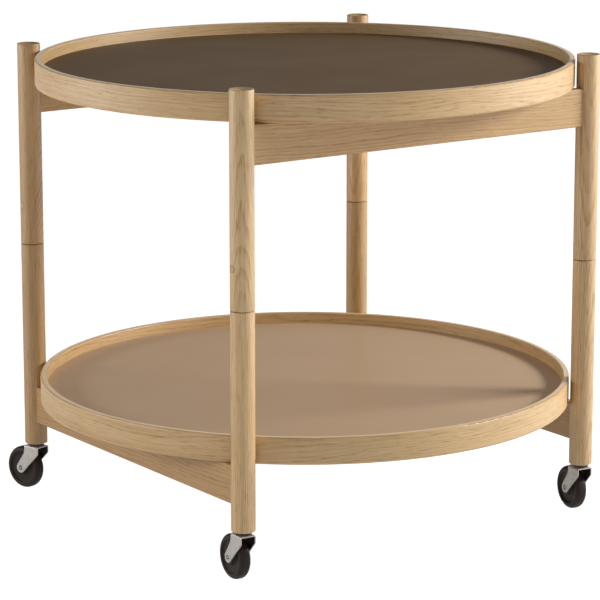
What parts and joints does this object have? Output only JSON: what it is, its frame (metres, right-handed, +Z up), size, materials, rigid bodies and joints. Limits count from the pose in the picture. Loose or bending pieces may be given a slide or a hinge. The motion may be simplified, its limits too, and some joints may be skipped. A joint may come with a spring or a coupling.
{
  "type": "tray table",
  "caption": "Low round folding side table on castors: split wooden legs on pivot pins, crossed upper and lower rails, and two lift-off rimmed trays.",
  "frame": {"origin": "on the floor under the middle of the trays", "axes": "+Z up, +X along the upper rails from the left legs to the right ones, +Y along the lower rails from front to rear"},
  "size_m": [0.6499, 0.65, 0.5655],
  "materials": {
    "frame_wood": "oiled, satin",
    "rim_wood": "oiled, satin",
    "dowel_wood": "end grain, oiled",
    "board_ply": "plain plywood edge",
    "laminate_dark": "satin laminate",
    "laminate_light": "satin laminate",
    "pin_steel": "bright drawn rod",
    "washer_fibre": "dark fibre",
    "castor_steel": "zinc plated, pressed",
    "wheel_black": "moulded, satin black"
  },
  "bodies": {
    "lower_frame_left": {"lower_rail_left": "frame_wood", "lower_leg_front_left": "frame_wood", "pivot_pin_front_left": "pin_steel", "pivot_washer_front_left": "washer_fibre", "castor_insert_front_left": "castor_steel", "castor_stem_front_left": "castor_steel", "swivel_washer_front_left": "castor_steel", "lower_leg_rear_left": "frame_wood", "pivot_pin_rear_left": "pin_steel", "pivot_washer_rear_left": "washer_fibre", "castor_insert_rear_left": "castor_steel", "castor_stem_rear_left": "castor_steel", "swivel_washer_rear_left": "castor_steel"},
    "upper_frame_front": {"upper_rail_front": "frame_wood", "upper_leg_front_left": "frame_wood", "retaining_dowel_front_left": "dowel_wood", "upper_leg_front_right": "frame_wood", "retaining_dowel_front_right": "dowel_wood"},
    "upper_frame_rear": {"upper_rail_rear": "frame_wood", "upper_leg_rear_left": "frame_wood", "retaining_dowel_rear_left": "dowel_wood", "upper_leg_rear_right": "frame_wood", "retaining_dowel_rear_right": "dowel_wood"},
    "lower_frame_right": {"lower_rail_right": "frame_wood", "lower_leg_front_right": "frame_wood", "pivot_pin_front_right": "pin_steel", "pivot_washer_front_right": "washer_fibre", "castor_insert_front_right": "castor_steel", "castor_stem_front_right": "castor_steel", "swivel_washer_front_right": "castor_steel", "lower_leg_rear_right": "frame_wood", "pivot_pin_rear_right": "pin_steel", "pivot_washer_rear_right": "washer_fibre", "castor_insert_rear_right": "castor_steel", "castor_stem_rear_right": "castor_steel", "swivel_washer_rear_right": "castor_steel"},
    "upper_tray": {"upper_tray_rim": "rim_wood", "upper_tray_board": "board_ply", "upper_tray_top_laminate": "laminate_dark", "upper_tray_under_laminate": "laminate_light"},
    "lower_tray": {"lower_tray_rim": "rim_wood", "lower_tray_board": "board_ply", "lower_tray_top_laminate": "laminate_light", "lower_tray_under_laminate": "laminate_dark"},
    "castor_front_left": {"castor_fork_front_left": "castor_steel", "castor_axle_front_left": "castor_steel"},
    "wheel_front_left": {"castor_wheel_front_left": "wheel_black"},
    "castor_front_right": {"castor_fork_front_right": "castor_steel", "castor_axle_front_right": "castor_steel"},
    "wheel_front_right": {"castor_wheel_front_right": "wheel_black"},
    "castor_rear_right": {"castor_fork_rear_right": "castor_steel", "castor_axle_rear_right": "castor_steel"},
    "wheel_rear_right": {"castor_wheel_rear_right": "wheel_black"},
    "castor_rear_left": {"castor_fork_rear_left": "castor_steel", "castor_axle_rear_left": "castor_steel"},
    "wheel_rear_left": {"castor_wheel_rear_left": "wheel_black"}
  },
  "joints": [
    {"name": "front_left_pivot", "type": "hinge", "parent": "lower_frame_left", "child": "upper_frame_front", "pos_m": [-0.24851, -0.23351, 0.3165], "axis": [0, 0, 1], "range_deg": [-0.28, 0.28]},
    {"name": "rear_left_pivot", "type": "hinge", "parent": "lower_frame_left", "child": "upper_frame_rear", "pos_m": [-0.24851, 0.23351, 0.3165], "axis": [0, 0, 1], "range_deg": [-0.28, 0.28]},
    {"name": "front_right_pivot", "type": "hinge", "parent": "upper_frame_front", "child": "lower_frame_right", "pos_m": [0.24851, -0.23351, 0.3165], "axis": [0, 0, 1], "range_deg": [-0.28, 0.28]},
    {"name": "upper_tray_lift", "type": "slide", "parent": "upper_frame_front", "child": "upper_tray", "axis": [0, 0, 1], "range_m": [0, 0.2]},
    {"name": "lower_tray_lift", "type": "slide", "parent": "lower_frame_left", "child": "lower_tray", "axis": [0, 0, 1], "range_m": [0, 0.3]},
    {"name": "castor_swivel_front_left", "type": "hinge", "parent": "lower_frame_left", "child": "castor_front_left", "pos_m": [-0.24851, -0.23351, 0.0558], "axis": [0, 0, 1], "continuous": true},
    {"name": "wheel_spin_front_left", "type": "hinge", "parent": "castor_front_left", "child": "wheel_front_left", "pos_m": [-0.24718, -0.21455, 0.0265], "axis": [0.9976, -0.0698, 0], "continuous": true},
    {"name": "castor_swivel_front_right", "type": "hinge", "parent": "lower_frame_right", "child": "castor_front_right", "pos_m": [0.24851, -0.23351, 0.0558], "axis": [0, 0, 1], "continuous": true},
    {"name": "wheel_spin_front_right", "type": "hinge", "parent": "castor_front_right", "child": "wheel_front_right", "pos_m": [0.25148, -0.21474, 0.0265], "axis": [0.9877, -0.1564, 0], "continuous": true},
    {"name": "castor_swivel_rear_right", "type": "hinge", "parent": "lower_frame_right", "child": "castor_rear_right", "pos_m": [0.24851, 0.23351, 0.0558], "axis": [0, 0, 1], "continuous": true},
    {"name": "wheel_spin_rear_right", "type": "hinge", "parent": "castor_rear_right", "child": "wheel_rear_right", "pos_m": [0.24718, 0.25246, 0.0265], "axis": [0.9976, 0.0698, 0], "continuous": true},
    {"name": "castor_swivel_rear_left", "type": "hinge", "parent": "lower_frame_left", "child": "castor_rear_left", "pos_m": [-0.24851, 0.23351, 0.0558], "axis": [0, 0, 1], "continuous": true},
    {"name": "wheel_spin_rear_left", "type": "hinge", "parent": "castor_rear_left", "child": "wheel_rear_left", "pos_m": [-0.25374, 0.25177, 0.0265], "axis": [0.9613, 0.2756, 0], "continuous": true}
  ],
  "couplings": [
    {"joint": "rear_left_pivot", "follows": "front_left_pivot", "ratio": 1},
    {"joint": "front_right_pivot", "follows": "front_left_pivot", "ratio": -1}
  ]
}
